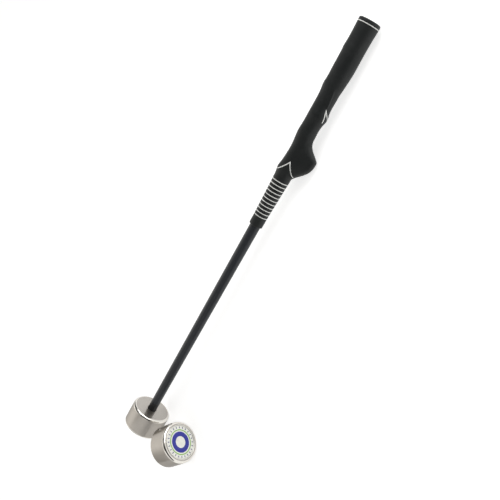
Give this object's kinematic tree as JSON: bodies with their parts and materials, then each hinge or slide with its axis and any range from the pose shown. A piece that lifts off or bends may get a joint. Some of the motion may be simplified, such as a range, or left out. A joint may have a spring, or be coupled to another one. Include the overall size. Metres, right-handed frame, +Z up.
{
  "type": "swing trainer stick",
  "caption": "Short golf swing trainer: tapered shaft, moulded grip with a finger hook, round steel weight screwed on the tip and a matching loose weight beside it.",
  "frame": {"origin": "centre of the whole outline on the surface the stick and the loose weight lie on", "axes": "+X along the stick towards the butt, seen from above; +Y away from the loose weight; +Z up from the surface"},
  "size_m": [0.5944, 0.1256, 0.0526],
  "materials": {
    "grip_rubber": "matte moulded rubber",
    "white_inlay": "matte white paint fill",
    "tape": "double-sided paper tape",
    "shaft_coat": "satin charcoal coating",
    "ferrule_plastic": "satin black plastic",
    "insert_steel": "turned steel",
    "washer_rubber": "matte black rubber",
    "weight_nickel": "satin nickel plate",
    "badge_rim": "bright rolled rim",
    "badge_plate": "satin silver enamel",
    "badge_blue": "gloss blue enamel",
    "badge_green": "gloss green enamel",
    "badge_ticks": "dark blue enamel"
  },
  "bodies": {
    "stick": {"grip_body": "grip_rubber", "butt_cap": "grip_rubber", "cap_ring": "white_inlay", "grip_rings": "white_inlay", "large_v": "white_inlay", "small_v": "white_inlay", "grip_tape": "tape", "shaft": "shaft_coat", "ferrule": "ferrule_plastic", "tip_insert": "insert_steel"},
    "seat": {"lock_washer": "washer_rubber"},
    "head": {"head_weight": "weight_nickel", "head_rim": "badge_rim", "head_plate": "badge_plate", "head_blue": "badge_blue", "head_green": "badge_green", "head_ticks": "badge_ticks"},
    "spare": {"spare_weight": "weight_nickel", "spare_rim": "badge_rim", "spare_plate": "badge_plate", "spare_blue": "badge_blue", "spare_green": "badge_green", "spare_ticks": "badge_ticks"}
  },
  "joints": [
    {"name": "head_advance", "type": "slide", "parent": "stick", "child": "seat", "axis": [-0.9997, 0, 0.0224], "range_m": [0, 0.01951]},
    {"name": "head_spin", "type": "hinge", "parent": "seat", "child": "head", "pos_m": [-0.2808, 0.03684, 0.02628], "axis": [-0.9997, 0, 0.0224], "range_deg": [0, 4680]},
    {"name": "spare_lift", "type": "slide", "parent": "stick", "child": "spare", "axis": [0, 0, 1], "range_m": [0, 0.08]}
  ],
  "couplings": [
    {"joint": "head_advance", "follows": "head_spin", "m_per_rad": 0.00023873}
  ]
}
